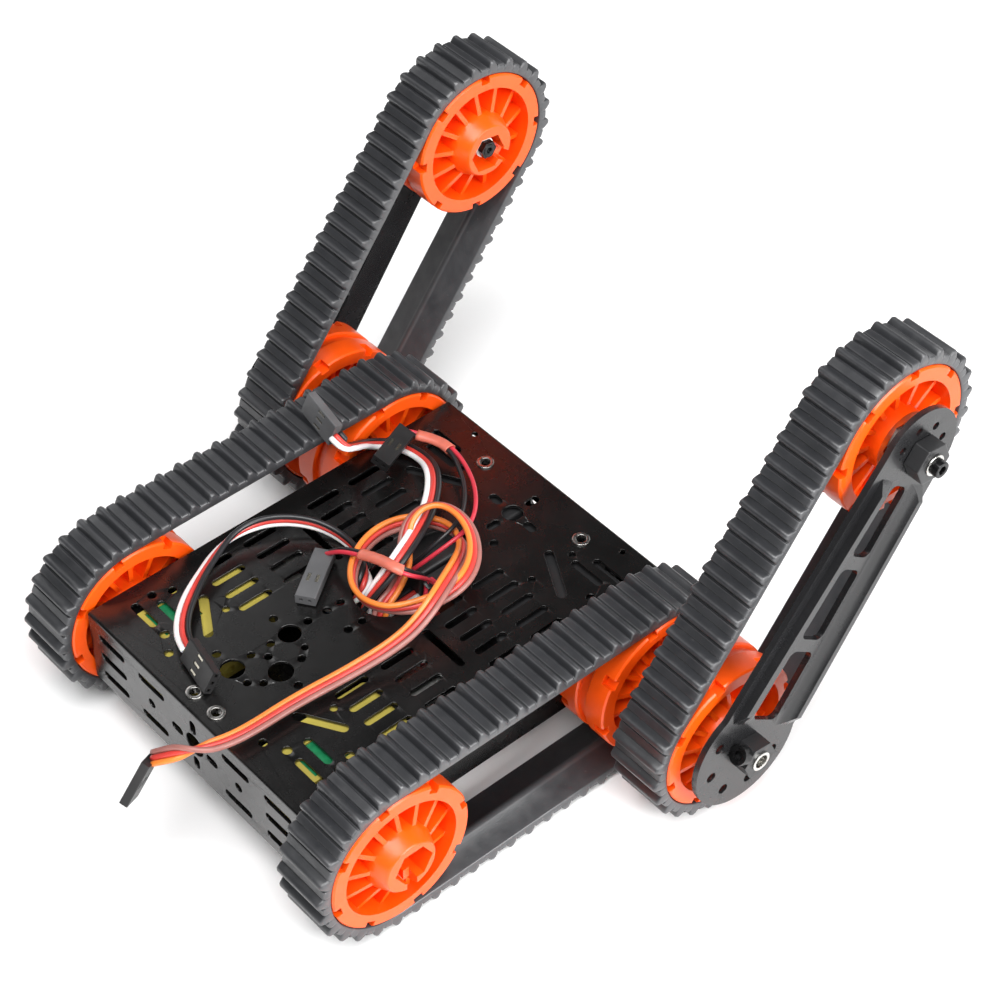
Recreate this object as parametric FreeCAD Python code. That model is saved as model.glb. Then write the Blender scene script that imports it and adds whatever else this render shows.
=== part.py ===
import FreeCAD, Part
import math
import os
from FreeCAD import Base

# Tracked chassis with two front flipper arms. Millimetres, +X forward, +Y left, +Z up.
# Everything is drawn about the middle of the case in X and Y and about the axle height in Z,
# then moved so that the origin is under the middle of the whole object, on the ground.

V = Base.Vector
OUT = "parts"

# ---------------------------------------------------------------- driving dimensions
CASE_L = 130.7          # case length
CASE_W = 95.8           # case width
DECK_Z = 12.4           # top face above the axles
CASE_H = 25.8           # case height
SHEET = 1.0             # sheet thickness

REAR_X = -48.0          # rear axle
FRONT_X = 45.0          # front axle and flipper pivot
ARM_LEN = 93.0          # pivot to tip axle
ARM_REST = 52.5         # flipper angle above level, degrees

WHEEL_R = 22.8          # rim radius
WHEEL_W = 18.0          # rim width
HUB_OUT = 3.95          # hub stands out of one face
RIM_IN = 18.4           # inside radius of the rim ring
RIBS = 13
NOTCHES = 8
MAIN_Y = 48.9           # inner face of the main wheels
FLIP_Y = 74.9           # inner face of the flipper wheels

BELT_IN = 23.0          # belt inside radius on a wheel
BELT_T = 2.6            # belt thickness under the lugs
LUG_H = 2.0             # lug height
LUGS = 52
BELT_W = 17.6

AXLE_Z = BELT_IN + BELT_T + LUG_H        # axle height above the ground
HEX = 12.0              # across flats of the wheel hexagons
SHAFT_R = 3.0           # flipper shaft radius
MOTOR_SHAFT_R = 2.7
TIP_AXLE_R = 2.0

PLATE_Y0 = 97.4         # flipper plate, inner face
PLATE_T = 1.8
FLANGE_H = 2.5

NUT_REAR = (-60.4, 4.8)     # clinch nut positions, x and half spacing
NUT_FRONT = (56.0, 20.7)
NUT_BORE_R = 1.5

SHIFT_X = -26.809         # moves the middle of the object over the origin


# ---------------------------------------------------------------- small helpers
def box(x0, x1, y0, y1, z0, z1):
    return Part.makeBox(x1 - x0, y1 - y0, z1 - z0, V(x0, y0, z0))


def cyl(x, y0, z, r, length, axis=V(0, 1, 0)):
    return Part.makeCylinder(r, length, V(x, y0, z), axis)


def fuse(shapes):
    s = shapes[0]
    if len(shapes) > 1:
        s = s.fuse(shapes[1:])
    return s.removeSplitter()


def prism(pts, direction):
    w = Part.makePolygon(pts + [pts[0]])
    return Part.Face(w).extrude(direction)


def slot_z(cx, cy, length, width, ang, z0, z1):
    # round-ended slot through a horizontal sheet; length is end to end
    a = (length - width) / 2.0
    r = width / 2.0
    s = box(-a, a, -r, r, z0, z1)
    s = s.fuse([Part.makeCylinder(r, z1 - z0, V(-a, 0, z0)), Part.makeCylinder(r, z1 - z0, V(a, 0, z0))])
    s.rotate(V(0, 0, 0), V(0, 0, 1), ang)
    s.translate(V(cx, cy, 0))
    return s


def slot_x(cy, cz, length, width, upright, x0, x1):
    # round-ended slot through a sheet that faces along X
    a = (length - width) / 2.0
    r = width / 2.0
    s = box(x0, x1, -a, a, -r, r)
    s = s.fuse([cyl(x0, -a, 0, r, x1 - x0, V(1, 0, 0)), cyl(x0, a, 0, r, x1 - x0, V(1, 0, 0))])
    if upright:
        s.rotate(V(0, 0, 0), V(1, 0, 0), 90)
    s.translate(V(0, cy, cz))
    return s


def hexagon(y0, length, af, flat_up=True):
    # hexagonal bar along Y; one pair of flats is level when flat_up
    r = af / math.sqrt(3.0)
    off = 0 if flat_up else 30
    pts = [V(r * math.cos(math.radians(60 * i + off)), y0, r * math.sin(math.radians(60 * i + off))) for i in range(6)]
    return prism(pts, V(0, length, 0))


def mirrored(s):
    return s.mirror(V(0, 0, 0), V(0, 1, 0))


def moved(s, x=0.0, y=0.0, z=0.0):
    c = s.copy()
    c.translate(V(x, y, z))
    return c


def raised(s):
    # from the level arm frame (pivot at the origin, arm along +X) to its place on the machine
    c = s.copy()
    c.rotate(V(0, 0, 0), V(0, 1, 0), -ARM_REST)
    c.translate(V(FRONT_X, 0, 0))
    return c


PARTS = {}


def keep(name, shape):
    PARTS.setdefault(name, []).extend(shape.Solids)


def keep_pair(name, shape):
    keep(name + "_left", shape)
    keep(name + "_right", mirrored(shape))


# ---------------------------------------------------------------- wheel (axis +Y, inner face at y=0)
def make_wheel(bar):
    prof = [V(RIM_IN, 0, 0), V(WHEEL_R - 0.5, 0, 0), V(WHEEL_R, 0.5, 0), V(WHEEL_R, 7.0, 0), V(WHEEL_R - 0.5, 7.4, 0),
            V(21.3, 7.4, 0), V(21.3, 10.6, 0), V(WHEEL_R - 0.5, 10.6, 0), V(WHEEL_R, 11.0, 0), V(WHEEL_R, 17.5, 0),
            V(WHEEL_R - 0.5, 18.0, 0), V(RIM_IN, 18.0, 0)]
    ring = Part.Face(Part.makePolygon(prof + [prof[0]])).revolve(V(0, 0, 0), V(0, 1, 0), 360)
    web = cyl(0, 7.6, 0, RIM_IN + 0.4, 2.8)
    hub_prof = [V(0, 0, 0), V(9.2, 0, 0), V(9.4, 7.0, 0), V(10.2, 17.2, 0), V(8.4, WHEEL_W + HUB_OUT - 0.5, 0),
                V(7.9, WHEEL_W + HUB_OUT, 0), V(0, WHEEL_W + HUB_OUT, 0)]
    hub = Part.Face(Part.makePolygon(hub_prof + [hub_prof[0]])).revolve(V(0, 0, 0), V(0, 1, 0), 360)
    solids = [ring, web, hub]
    for i in range(RIBS):
        pts = [V(6.0, 3.0, -0.7), V(18.9, 3.4, -0.7), V(18.9, 14.6, -0.7), V(10.0, 17.4, -0.7), V(6.0, 17.4, -0.7)]
        rib = prism(pts, V(0, 0, 1.4))
        rib.rotate(V(0, 0, 0), V(0, 1, 0), 360.0 / RIBS * i - 5.5)
        solids.append(rib)
    w = fuse(solids)
    cuts = []
    for i in range(NOTCHES):
        for y0, y1 in ((-0.1, 3.6), (WHEEL_W - 3.6, WHEEL_W + 0.1)):
            n = box(WHEEL_R - 2.1, WHEEL_R + 1, y0, y1, -1.5, 1.5)
            n.rotate(V(0, 0, 0), V(0, 1, 0), -13 + 360.0 / NOTCHES * i)
            cuts.append(n)
    pocket_in = hexagon(-0.1, 11.1, HEX + 0.2)
    pocket_out = moved(hexagon(14.0, 9.0, 10.8), x=0.9)
    cuts += [pocket_in, pocket_out, cyl(0, -1, 0, SHAFT_R + 0.1, 30)]
    cuts.append(box(-1.7, 1.7, 17.6, 23.0, -11, -4))
    w = w.cut(cuts)
    if bar:
        b = box(-1.0, 1.0, 13.8, 19.5, -6.6, 6.6).cut(cyl(0, 10, 0, SHAFT_R + 0.1, 20))
        w = w.fuse([b])
    return w.removeSplitter()


def place_wheel(w, x, inner_y, hub_outward=True):
    c = w.copy()
    if not hub_outward:
        c.rotate(V(0, 0, 0), V(0, 0, 1), 180)
        c.translate(V(0, WHEEL_W, 0))
    c.translate(V(x, inner_y, 0))
    return c


# ---------------------------------------------------------------- belt loop between (0,0) and (span,0), axis Y, y from 0 to BELT_W
def make_belt(span):
    rv = BELT_IN + BELT_T
    total = 2 * span + 2 * math.pi * rv
    half = math.pi * rv

    def at(s, h):
        s = s % total
        if s < span:                       # bottom run, towards +X
            return V(s, 0, -(rv + h))
        s -= span
        if s < half:                       # round the far wheel
            a = -math.pi / 2 + s / rv
            return V(span + (rv + h) * math.cos(a), 0, (rv + h) * math.sin(a))
        s -= half
        if s < span:                       # top run, back
            return V(span - s, 0, rv + h)
        s -= span
        a = math.pi / 2 + s / rv
        return V((rv + h) * math.cos(a), 0, (rv + h) * math.sin(a))

    pitch = total / LUGS
    shape = [(0.0, 0.0), (0.36, 0.0), (0.60, LUG_H * 0.9), (0.66, LUG_H), (0.76, LUG_H), (0.80, LUG_H * 0.9), (0.90, 0.0)]
    pts = []
    for i in range(LUGS):
        for f, h in shape:
            pts.append(at((i + f) * pitch, h))
    outer = Part.makePolygon(pts + [pts[0]])
    inner = stadium(span, BELT_IN)
    belt = Part.Face(outer).extrude(V(0, BELT_W, 0)).cut(Part.Face(inner).extrude(V(0, BELT_W, 0)))
    # raised rib along the middle of the inside
    y0 = BELT_W / 2 - 1.2
    a = moved(Part.Face(stadium(span, BELT_IN + 0.6)).extrude(V(0, 2.4, 0)), y=y0)
    b = moved(Part.Face(stadium(span, BELT_IN - 1.1)).extrude(V(0, 2.4, 0)), y=y0)
    return belt.fuse([a.cut(b)]).removeSplitter()


def stadium(span, r):
    e = [Part.LineSegment(V(0, 0, -r), V(span, 0, -r)).toShape(),
         Part.Arc(V(span, 0, -r), V(span + r, 0, 0), V(span, 0, r)).toShape(),
         Part.LineSegment(V(span, 0, r), V(0, 0, r)).toShape(),
         Part.Arc(V(0, 0, r), V(-r, 0, 0), V(0, 0, -r)).toShape()]
    return Part.Wire(e)


# ---------------------------------------------------------------- case
SLOT_ROWS = (21.3, 27.5, 33.7, 39.9)
SLOT_COLS = (-27.4, -11.7, 11.1, 26.1)


def deck_cuts():
    z0, z1 = DECK_Z - SHEET - 0.5, DECK_Z + 0.5
    c = []
    for x in SLOT_COLS:
        rows = SLOT_ROWS if x < 0 else (15.1,) + SLOT_ROWS
        for y in rows:
            for sgn in (1, -1):
                c.append(slot_z(x, sgn * y, 11.0, 2.3, 0, z0, z1))
    for sgn in (1, -1):
        c.append(slot_z(0.4, sgn * 26.5, 17.0, 2.4, 90, z0, z1))
        c.append(slot_z(-54.0, sgn * 36.8, 10.8, 2.6, 90, z0, z1))
        c.append(slot_z(-48.0, sgn * 32.8, 10.8, 2.6, 90, z0, z1))
        c.append(slot_z(-41.4, sgn * 25.4, 16.0, 2.8, sgn * 59, z0, z1))
        c.append(slot_z(41.6, sgn * 26.0, 18.5, 2.8, -sgn * 61, z0, z1))
        c.append(slot_z(48.5, sgn * 31.5, 12.0, 2.4, 90, z0, z1))
        c.append(slot_z(53.5, sgn * 35.1, 12.0, 2.4, 90, z0, z1))
        c.append(slot_z(48.5, sgn * 7.4, 4.6, 2.6, 90, z0, z1))
        for x, y, r in ((-54.0, 27.3, 1.4), (-57.2, 21.0, 1.3), (-48.0, 41.6, 1.3), (-42.6, 39.4, 1.3), (-35.7, 23.9, 1.1),
                        (35.3, 23.2, 1.1), (50.2, 23.4, 1.1), (43.0, 39.0, 1.3), (61.6, 31.9, 0.9), (36.6, 5.6, 1.3)):
            c.append(Part.makeCylinder(r, 2.0, V(x, sgn * y, z0)))
    c.append(slot_z(41.2, 0, 4.6, 2.6, 0, z0, z1))
    c.append(slot_z(55.8, 0, 4.6, 2.6, 0, z0, z1))
    for x, y, r in ((48.5, 0, 3.1), (-47.6, 5.1, 3.5), (-38.3, -4.3, 3.6), (-28.0, 5.1, 3.3),
                    (-47.6, 12.2, 1.3), (-40.8, 5.8, 1.2), (-37.6, 2.2, 1.2), (-47.6, -1.6, 1.2), (-44.4, -4.5, 1.2),
                    (-31.2, -4.3, 1.3), (-37.8, -11.3, 1.3), (-28.0, 12.4, 1.3), (-34.2, 5.6, 1.2), (-21.4, 5.5, 1.3),
                    (-28.0, -1.6, 1.1), (-15.0, 5.1, 1.3), (-15.0, -4.3, 1.3), (-10.2, 5.1, 1.2), (-10.2, -4.3, 1.2)):
        c.append(Part.makeCylinder(r, 2.0, V(x, y, z0)))
    # opening for the leads
    c.append(slot_z(12.8, 0, 40.8, 19.4, 0, z0, z1))
    for x, y in (NUT_REAR, NUT_FRONT):
        for sgn in (1, -1):
            c.append(Part.makeCylinder(2.1, 2.0, V(x, sgn * y, z0)))
    return c


def flange_cuts(x0, x1):
    zc = DECK_Z - 13.4
    c = []
    for sgn in (1, -1):
        for dz in (7.3, 0.0, -7.4):
            c.append(slot_x(sgn * 37.4, zc + dz, 11.9, 2.5, False, x0, x1))
        for dz in (7.3, -7.4):
            c.append(slot_x(sgn * 18.9, zc + dz, 11.9, 2.5, False, x0, x1))
        c.append(cyl(x0, sgn * 19.6, zc, 1.5, x1 - x0, V(1, 0, 0)))
        c.append(slot_x(sgn * 7.8, zc, 5.0, 2.8, False, x0, x1))
    c.append(slot_x(0, zc + 7.0, 5.0, 2.6, True, x0, x1))
    c.append(slot_x(0, zc - 7.4, 4.4, 2.6, True, x0, x1))
    c.append(cyl(x0, 0, zc, 3.8, x1 - x0, V(1, 0, 0)))
    return c


hx, hy = CASE_L / 2, CASE_W / 2
bot = DECK_Z - CASE_H

top = box(-hx, hx, -hy, hy, DECK_Z - SHEET, DECK_Z)
rear = box(-hx, -hx + SHEET, -hy, hy, bot, DECK_Z)
front = box(hx - SHEET, hx, -hy, hy, bot, DECK_Z)
tabs = []
for sx in (-14.0, 14.0):
    for sgn in (1, -1):
        y0, y1 = sorted((sgn * (hy - 2 * SHEET - 0.05), sgn * (hy - SHEET - 0.05)))
        tabs.append(box(sx - 5, sx + 5, y0, y1, -4.0, DECK_Z - SHEET + 0.2))
cover = fuse([top, rear, front] + tabs)
# rounded bends along the two folded edges
edges = []
for e in cover.Edges:
    bb = e.BoundBox
    if bb.YLength > CASE_W - 1 and abs(bb.ZMax - DECK_Z) < 1e-6 and abs(abs(bb.XMin) - hx) < 1e-6:
        edges.append(e)
cover = cover.makeFillet(0.9, edges)
cover = cover.cut(deck_cuts())
cover = cover.cut(flange_cuts(-hx - 1, -hx + SHEET + 1) + flange_cuts(hx - SHEET - 1, hx + 1))
screw_holes = []
for sx in (-14.0, 14.0):
    screw_holes.append(cyl(sx, -hy - 1, 0, 1.6, CASE_W + 2))
cover = cover.cut(screw_holes)
keep("top_cover", cover)

tray = fuse([box(-hx + SHEET + 0.1, hx - SHEET - 0.1, -hy, hy, bot, bot + SHEET),
             box(-hx + SHEET + 0.1, hx - SHEET - 0.1, hy - SHEET, hy, bot, DECK_Z - SHEET - 0.05),
             box(-hx + SHEET + 0.1, hx - SHEET - 0.1, -hy, -hy + SHEET, bot, DECK_Z - SHEET - 0.05)])
tray_cuts = [cyl(REAR_X, -hy - 1, 0, 7.6, CASE_W + 2), cyl(FRONT_X, -hy - 1, 0, 6.4, CASE_W + 2)] + screw_holes
for x, y in ((30.0, 16.5), (30.0, 30.0), (-35.0, 30.0)):
    for sgn in (1, -1):
        tray_cuts.append(slot_z(x, sgn * y, 12.0, 2.6, 0, bot - 1, bot + SHEET + 1))
for x in (-53.0, 53.0):
    for y in (-30.0, 30.0):
        tray_cuts.append(Part.makeCylinder(1.6, 3.0, V(x, y, bot - 1)))
tray = tray.cut(tray_cuts)
keep("bottom_tray", tray)

for x, y in (NUT_REAR, NUT_FRONT):
    for sgn in (1, -1):
        nut = Part.makeCylinder(2.55, 0.5, V(x, sgn * y, DECK_Z)).fuse(
            [Part.makeCylinder(2.08, 2.4, V(x, sgn * y, DECK_Z - 1.9))])
        nut = nut.cut(Part.makeCylinder(NUT_BORE_R, 6, V(x, sgn * y, DECK_Z - 3)))
        keep("clinch_nuts", nut.removeSplitter())

for sx in (-14.0, 14.0):
    screw = cyl(sx, hy + 0.02, 0, 2.8, 1.5).fuse([cyl(sx, hy - 4.5, 0, 1.5, 4.6)])
    hexs = moved(hexagon(hy + 0.8, 1.2, 2.0), x=sx)
    screw = screw.cut(hexs).removeSplitter()
    keep("case_screws", screw)
    keep("case_screws", mirrored(screw))

# ---------------------------------------------------------------- gearmotors
GM_Y0, GM_Y1 = 20.8, 39.6
gm = box(REAR_X - 10.8, -21.8, GM_Y0, GM_Y1, -11.0, 11.0)
vert = [e for e in gm.Edges if abs(e.BoundBox.YLength - (GM_Y1 - GM_Y0)) < 1e-6]
gm = gm.makeFillet(2.5, vert)
gm = gm.cut([cyl(REAR_X, 33.0, 0, MOTOR_SHAFT_R + 0.08, 10), box(-53.2, -40.8, 27.8, 38.2, 9.8, 12),
             cyl(-38.0, GM_Y0 - 1, 8.2, 1.4, 30), cyl(-38.0, GM_Y0 - 1, -8.2, 1.4, 30)])
keep_pair("gearmotor_housing", gm.removeSplitter())

can_c = (GM_Y0 + GM_Y1) / 2
can = cyl(-21.75, can_c, 0, 10.0, 22.0, V(1, 0, 0)).common(box(-22, 2, can_c - 7.7, can_c + 7.7, -11, 11))
can = can.fuse([cyl(0.2, can_c, 0, 3.0, 1.2, V(1, 0, 0))]).removeSplitter()
keep_pair("motor_can", can)

board = box(-53.0, -41.0, 28.0, 38.0, 9.85, 10.65).cut([cyl(-51.5, 29.5, 9, 0.8, 3, V(0, 0, 1)), cyl(-42.5, 36.5, 9, 0.8, 3, V(0, 0, 1))])
keep("encoder_boards", board)
keep("encoder_boards", mirrored(board))

shaft = cyl(REAR_X, 33.4, 0, MOTOR_SHAFT_R, 18.6)
keep_pair("motor_shaft", shaft)
coup = moved(hexagon(42.0, 17.4, HEX - 0.1), x=REAR_X)
coup = coup.cut([cyl(REAR_X, 41.0, 0, MOTOR_SHAFT_R + 0.02, 11.1), cyl(REAR_X, 51.0, 0, 1.5, 10)])
keep_pair("rear_coupling", coup)

# ---------------------------------------------------------------- flipper servos
sv = box(14.8, 55.3, 0.6, 38.6, -10.0, 10.0)
sv = sv.makeFillet(1.0, sv.Edges)
ears = box(7.4, 62.6, 26.4, 29.0, -9.4, 9.4)
ear_holes = [cyl(x, 25.0, z, 2.2, 6) for x in (10.2, 59.8) for z in (-5.0, 5.0)]
boss = cyl(FRONT_X, 38.4, 0, 6.4, 1.2)
servo = sv.fuse([ears, boss]).cut(ear_holes).removeSplitter()
keep_pair("flipper_servo", servo)

# wall bearings that the flipper shafts run in
brg = cyl(FRONT_X, 46.0, 0, 6.3, 2.4).fuse([cyl(FRONT_X, 46.0, 0, 7.6, 0.85)])
brg = brg.cut(cyl(FRONT_X, 45.0, 0, SHAFT_R + 0.06, 5)).removeSplitter()
keep("shaft_bearings", brg)
keep("shaft_bearings", mirrored(brg))

# ---------------------------------------------------------------- wheels
wheel_plain = make_wheel(False)
wheel_bar = make_wheel(True)
keep_pair("rear_wheel", place_wheel(wheel_bar, REAR_X, MAIN_Y))
keep_pair("front_wheel", place_wheel(wheel_plain, FRONT_X, MAIN_Y))
keep_pair("flipper_base_wheel", place_wheel(wheel_bar, FRONT_X, FLIP_Y))
bore = [cyl(FRONT_X, 40, 0, SHAFT_R + 0.06, 60)]
hexes = moved(hexagon(49.6, 9.9, HEX - 0.1), x=FRONT_X).cut(bore)
hexes2 = moved(hexagon(73.0, 12.6, HEX - 0.1).fuse([hexagon(63.2, 10.0, 9.0)]).removeSplitter(), x=FRONT_X).cut(bore)
for name, flip in (("wheel_hexes_left", False), ("wheel_hexes_right", True)):
    for h in (hexes, hexes2):
        keep(name, mirrored(h) if flip else h)

# ---------------------------------------------------------------- main belts
belt = make_belt(FRONT_X - REAR_X)
keep_pair("main_track", moved(belt, REAR_X, MAIN_Y + (WHEEL_W - BELT_W) / 2, 0))

# ---------------------------------------------------------------- flipper arms (drawn level, then raised)
R_BASE, R_TIP = 18.5, 14.0
p0, p1 = PLATE_Y0, PLATE_Y0 + PLATE_T


def plate_outline(y):
    # two round ends joined by straight, slightly waisted sides
    wb, wt = 16.6, 13.9
    xb, xt = math.sqrt(R_BASE ** 2 - wb ** 2), math.sqrt(R_TIP ** 2 - wt ** 2)
    a, b = V(xb, y, wb), V(ARM_LEN - xt, y, wt)
    c, d = V(ARM_LEN - xt, y, -wt), V(xb, y, -wb)
    e = [Part.LineSegment(a, b).toShape(), Part.Arc(b, V(ARM_LEN + R_TIP, y, 0), c).toShape(),
         Part.LineSegment(c, d).toShape(), Part.Arc(d, V(-R_BASE, y, 0), a).toShape()]
    return Part.Wire(e)


plate = Part.Face(plate_outline(p0)).extrude(V(0, PLATE_T, 0))
flanges = []
for sgn in (1, -1):
    # raised flange along each long side: straight outer face, flat top, inner face curving into the web, slanted ends
    zb, zt = 13.9, 10.6
    x0, x1 = 8.1, 84.6
    yb, yt = p1 - 0.3, p1 + FLANGE_H
    arc_r = 5.3
    mid = math.radians((270 + 328.1) / 2)
    prof = [Part.LineSegment(V(0, yb, 0), V(0, yt, 0)).toShape(),
            Part.LineSegment(V(0, yt, 0), V(0, yt, -2.0)).toShape(),
            Part.Arc(V(0, yt, -2.0), V(0, p1 + arc_r + arc_r * math.sin(mid), -6.5 + arc_r * math.cos(mid)), V(0, p1, -6.5)).toShape(),
            Part.LineSegment(V(0, p1, -6.5), V(0, yb, -6.5)).toShape(),
            Part.LineSegment(V(0, yb, -6.5), V(0, yb, 0)).toShape()]
    fl = Part.Face(Part.Wire(prof)).extrude(V(x1 - x0, 0, 0))
    ends = [V(0, yb - 0.1, 1), V(x1 - x0, yb - 0.1, 1), V(x1 - x0, p1, 1), V(x1 - x0 - 3.9, yt, 1), V(x1 - x0 - 3.9, yt + 1, 1),
            V(3.8, yt + 1, 1), V(3.8, yt, 1), V(0, p1, 1)]
    fl = fl.common(prism(ends, V(0, 0, -9)))
    ang = math.degrees(math.atan2(zb - zt, x1 - x0))
    fl.rotate(V(0, 0, 0), V(0, 1, 0), ang)
    fl.translate(V(x0, 0, zb))
    if sgn < 0:
        fl = fl.mirror(V(0, 0, 0), V(0, 0, 1))
    flanges.append(fl)
plate = fuse([plate] + flanges)
wins = []
for x0, x1 in ((9.6, 31.4), (35.3, 57.3), (61.3, 83.2)):
    h0, h1 = 5.9 - 0.034 * (x0 - 10), 5.9 - 0.034 * (x1 - 10)
    w = prism([V(x0, p0 - 1, -h0), V(x1, p0 - 1, -h1), V(x1, p0 - 1, h1), V(x0, p0 - 1, h0)], V(0, PLATE_T + 2, 0))
    w = w.makeFillet(2.2, [e for e in w.Edges if e.BoundBox.YLength > 3.5])
    wins.append(w)
for a in (90, 135, 180, 225, 270):
    wins.append(cyl(13.1 * math.cos(math.radians(a)), p0 - 1, 13.1 * math.sin(math.radians(a)), 1.6, 6))
for a in (0, 45, -45, 90, -90):
    wins.append(cyl(ARM_LEN + 8.6 * math.cos(math.radians(a)), p0 - 1, 8.6 * math.sin(math.radians(a)), 1.2, 6))
wins.append(cyl(0, p0 - 1, 0, SHAFT_R + 0.05, 6))
wins.append(cyl(ARM_LEN, p0 - 1, 0, TIP_AXLE_R + 0.1, 6))
plate = plate.cut(wins).removeSplitter()
keep_pair("arm_plate", raised(plate))

SCREW_Y = 102.0          # radial screw of the base hub
hub = hexagon(p1 + 0.05, 104.5 - p1 - 0.05, 10.0).cut([cyl(0, p1 - 1, 0, SHAFT_R + 0.02, 10)])
hub = hub.cut(cyl(0, SCREW_Y, 3, 1.3, 6, V(0, 0, 1)))
keep_pair("base_hub", raised(hub))
shaft = cyl(0, 41.0, 0, SHAFT_R, 64.0).cut(cyl(0, 102.0, 0, 2.1, 4))
keep_pair("flipper_shaft", raised(shaft))
sc = cyl(0, 40.0, 0, 7.0, 5.6).cut(cyl(0, 40.95, 0, SHAFT_R + 0.02, 6))
keep_pair("servo_coupling", raised(sc))

tiphub = moved(hexagon(p1 + 0.05, 104.3 - p1 - 0.05, 11.0), x=ARM_LEN).cut(cyl(ARM_LEN, p1 - 1, 0, TIP_AXLE_R + 0.02, 12))
keep_pair("tip_hub", raised(tiphub))
axle = cyl(ARM_LEN, 71.1, 0, TIP_AXLE_R, 33.9).fuse([cyl(ARM_LEN, 104.9, 0, 2.45, 2.4)])
axle = axle.cut([moved(hexagon(106.0, 3, 2.4), x=ARM_LEN), moved(hexagon(70.5, 1.5, 1.8), x=ARM_LEN)]).removeSplitter()
keep_pair("tip_axle", raised(axle))

# small hardware of one arm: radial screw and nut, then the spacer and washer of the tip axle
sc1 = cyl(0, SCREW_Y, 3.4, 1.25, 1.9, V(0, 0, 1)).fuse([cyl(0, SCREW_Y, 5.1, 2.75, 3.0, V(0, 0, 1))])
hs = prism([V(1.3 * math.cos(math.radians(60 * i)), SCREW_Y + 1.3 * math.sin(math.radians(60 * i)), 6.6) for i in range(6)], V(0, 0, 2))
sc1 = sc1.cut(hs).removeSplitter()
nut = moved(hexagon(71.25, 1.9, 4.9), x=ARM_LEN).cut(cyl(ARM_LEN, 69, 0, TIP_AXLE_R + 0.02, 5))
spacer = cyl(ARM_LEN, 93.4, 0, 4.2, 3.95).cut(cyl(ARM_LEN, 93, 0, TIP_AXLE_R + 0.02, 6))
wash = cyl(ARM_LEN, 104.35, 0, 3.2, 0.55).cut(cyl(ARM_LEN, 104, 0, TIP_AXLE_R + 0.02, 2))
for name, group in (("arm_hardware", (sc1, nut)), ("axle_washer", (spacer, wash))):
    for s in group:
        keep(name + "_left", raised(s))
        keep(name + "_right", mirrored(raised(s)))

fbelt = make_belt(ARM_LEN)
keep_pair("flipper_track", raised(moved(fbelt, 0, FLIP_Y + (WHEEL_W - BELT_W) / 2, 0)))

# tip wheel, hub inward, on a bushing that turns on the tip axle
tipw = place_wheel(wheel_bar, ARM_LEN, FLIP_Y, False)
tipw = tipw.cut(cyl(ARM_LEN, 60, 0, 3.2, 40))
keep_pair("tip_wheel", raised(tipw))
bush = cyl(ARM_LEN, 73.2, 0, 3.18, 19.4).cut(cyl(ARM_LEN, 70, 0, TIP_AXLE_R + 0.06, 30))
keep_pair("tip_bushing", raised(bush))

# ---------------------------------------------------------------- leads: straight runs joined by tangent arcs
RIBBON_D = 3.0          # round section with the area of the flat three-wire ribbon
PAIR_D = 2.2            # round section for the two-wire leads
H = DECK_Z

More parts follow.
